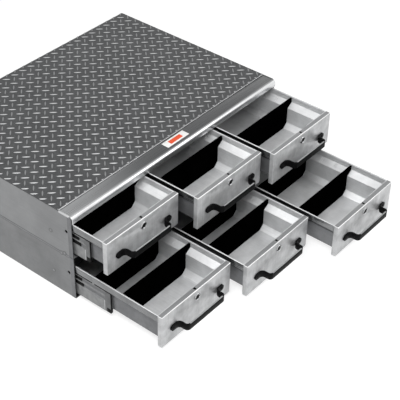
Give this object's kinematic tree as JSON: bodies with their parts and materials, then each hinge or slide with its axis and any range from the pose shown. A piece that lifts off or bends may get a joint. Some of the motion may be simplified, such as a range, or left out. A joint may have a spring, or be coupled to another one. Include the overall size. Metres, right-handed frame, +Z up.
{
  "type": "storage drawer",
  "caption": "Low aluminium drawer unit for a vehicle's load bed: two rows of lockable drawers on side slides, with bow handles, loose dividers and a tread plate top.",
  "frame": {"origin": "centre of the cabinet's underside, on the surface it stands on", "axes": "+X to the right seen from the front, +Y from the drawer fronts to the back, +Z up"},
  "size_m": [0.914, 1.1472, 0.2947],
  "materials": {
    "casing": "satin folded sheet",
    "tread_plate": "embossed with raised lozenges, darker base",
    "trim": "satin folded strip",
    "partition": "satin folded sheet with pale zinc plated slide rails",
    "mid_rail": "black powder coat",
    "sill": "matt black",
    "tray": "satin folded sheet",
    "front": "satin sheet, brushed sideways",
    "handle": "black powder coat",
    "divider": "matt black",
    "slide": "pale zinc plate",
    "lock_case": "bright plated",
    "lock_plug": "dull plated"
  },
  "bodies": {
    "cabinet": {"lower_shell": "casing", "upper_shell": "casing", "back_panel": "casing", "tread_plate": "tread_plate", "front_trim": "trim", "mid_rail": "mid_rail", "sill_strip": "sill", "partition_left": "partition", "partition_right": "partition"},
    "lower_left_drawer": {"lower_left_tray": "tray", "lower_left_front": "front", "lower_left_handle": "handle", "lower_left_front_divider": "divider", "lower_left_rear_divider": "divider", "lower_left_lock_case": "lock_case"},
    "lower_left_carriage": {"lower_left_carriage_left": "slide", "lower_left_carriage_right": "slide"},
    "lower_left_lock": {"lower_left_lock_plug": "lock_plug"},
    "lower_middle_drawer": {"lower_middle_tray": "tray", "lower_middle_front": "front", "lower_middle_handle": "handle", "lower_middle_front_divider": "divider", "lower_middle_rear_divider": "divider", "lower_middle_lock_case": "lock_case"},
    "lower_middle_carriage": {"lower_middle_carriage_left": "slide", "lower_middle_carriage_right": "slide"},
    "lower_middle_lock": {"lower_middle_lock_plug": "lock_plug"},
    "lower_right_drawer": {"lower_right_tray": "tray", "lower_right_front": "front", "lower_right_handle": "handle", "lower_right_front_divider": "divider", "lower_right_rear_divider": "divider", "lower_right_lock_case": "lock_case"},
    "lower_right_carriage": {"lower_right_carriage_left": "slide", "lower_right_carriage_right": "slide"},
    "lower_right_lock": {"lower_right_lock_plug": "lock_plug"},
    "upper_left_drawer": {"upper_left_tray": "tray", "upper_left_front": "front", "upper_left_handle": "handle", "upper_left_front_divider": "divider", "upper_left_lock_case": "lock_case"},
    "upper_left_carriage": {"upper_left_carriage_left": "slide", "upper_left_carriage_right": "slide"},
    "upper_left_lock": {"upper_left_lock_plug": "lock_plug"},
    "upper_middle_drawer": {"upper_middle_tray": "tray", "upper_middle_front": "front", "upper_middle_handle": "handle", "upper_middle_front_divider": "divider", "upper_middle_lock_case": "lock_case"},
    "upper_middle_carriage": {"upper_middle_carriage_left": "slide", "upper_middle_carriage_right": "slide"},
    "upper_middle_lock": {"upper_middle_lock_plug": "lock_plug"},
    "upper_right_drawer": {"upper_right_tray": "tray", "upper_right_front": "front", "upper_right_handle": "handle", "upper_right_front_divider": "divider", "upper_right_lock_case": "lock_case"},
    "upper_right_carriage": {"upper_right_carriage_left": "slide", "upper_right_carriage_right": "slide"},
    "upper_right_lock": {"upper_right_lock_plug": "lock_plug"}
  },
  "joints": [
    {"name": "lower_left_drawer_slide", "type": "slide", "parent": "cabinet", "child": "lower_left_drawer", "axis": [0, -1, 0], "range_m": [-0.3132, 0.2868]},
    {"name": "lower_left_carriage_slide", "type": "slide", "parent": "cabinet", "child": "lower_left_carriage", "axis": [0, -1, 0], "range_m": [-0.1566, 0.1434]},
    {"name": "lower_left_lock_turn", "type": "hinge", "parent": "lower_left_drawer", "child": "lower_left_lock", "pos_m": [-0.3062, -0.6402, 0.0935], "axis": [0, -1, 0], "range_deg": [0, 90]},
    {"name": "lower_middle_drawer_slide", "type": "slide", "parent": "cabinet", "child": "lower_middle_drawer", "axis": [0, -1, 0], "range_m": [-0.3619, 0.2381]},
    {"name": "lower_middle_carriage_slide", "type": "slide", "parent": "cabinet", "child": "lower_middle_carriage", "axis": [0, -1, 0], "range_m": [-0.18095, 0.11905]},
    {"name": "lower_middle_lock_turn", "type": "hinge", "parent": "lower_middle_drawer", "child": "lower_middle_lock", "pos_m": [0, -0.6889, 0.0935], "axis": [0, -1, 0], "range_deg": [0, 90]},
    {"name": "lower_right_drawer_slide", "type": "slide", "parent": "cabinet", "child": "lower_right_drawer", "axis": [0, -1, 0], "range_m": [-0.4572, 0.1428]},
    {"name": "lower_right_carriage_slide", "type": "slide", "parent": "cabinet", "child": "lower_right_carriage", "axis": [0, -1, 0], "range_m": [-0.2286, 0.0714]},
    {"name": "lower_right_lock_turn", "type": "hinge", "parent": "lower_right_drawer", "child": "lower_right_lock", "pos_m": [0.3062, -0.7842, 0.0935], "axis": [0, -1, 0], "range_deg": [0, 90]},
    {"name": "upper_left_drawer_slide", "type": "slide", "parent": "cabinet", "child": "upper_left_drawer", "axis": [0, -1, 0], "range_m": [-0.1218, 0.4782]},
    {"name": "upper_left_carriage_slide", "type": "slide", "parent": "cabinet", "child": "upper_left_carriage", "axis": [0, -1, 0], "range_m": [-0.0609, 0.2391]},
    {"name": "upper_left_lock_turn", "type": "hinge", "parent": "upper_left_drawer", "child": "upper_left_lock", "pos_m": [-0.3062, -0.4488, 0.2406], "axis": [0, -1, 0], "range_deg": [0, 90]},
    {"name": "upper_middle_drawer_slide", "type": "slide", "parent": "cabinet", "child": "upper_middle_drawer", "axis": [0, -1, 0], "range_m": [-0.1803, 0.4197]},
    {"name": "upper_middle_carriage_slide", "type": "slide", "parent": "cabinet", "child": "upper_middle_carriage", "axis": [0, -1, 0], "range_m": [-0.09015, 0.20985]},
    {"name": "upper_middle_lock_turn", "type": "hinge", "parent": "upper_middle_drawer", "child": "upper_middle_lock", "pos_m": [0, -0.5073, 0.2406], "axis": [0, -1, 0], "range_deg": [0, 90]},
    {"name": "upper_right_drawer_slide", "type": "slide", "parent": "cabinet", "child": "upper_right_drawer", "axis": [0, -1, 0], "range_m": [-0.2159, 0.3841]},
    {"name": "upper_right_carriage_slide", "type": "slide", "parent": "cabinet", "child": "upper_right_carriage", "axis": [0, -1, 0], "range_m": [-0.10795, 0.19205]},
    {"name": "upper_right_lock_turn", "type": "hinge", "parent": "upper_right_drawer", "child": "upper_right_lock", "pos_m": [0.3062, -0.5429, 0.2406], "axis": [0, -1, 0], "range_deg": [0, 90]}
  ],
  "couplings": [
    {"joint": "lower_left_carriage_slide", "follows": "lower_left_drawer_slide", "ratio": 0.5},
    {"joint": "lower_middle_carriage_slide", "follows": "lower_middle_drawer_slide", "ratio": 0.5},
    {"joint": "lower_right_carriage_slide", "follows": "lower_right_drawer_slide", "ratio": 0.5},
    {"joint": "upper_left_carriage_slide", "follows": "upper_left_drawer_slide", "ratio": 0.5},
    {"joint": "upper_middle_carriage_slide", "follows": "upper_middle_drawer_slide", "ratio": 0.5},
    {"joint": "upper_right_carriage_slide", "follows": "upper_right_drawer_slide", "ratio": 0.5}
  ]
}
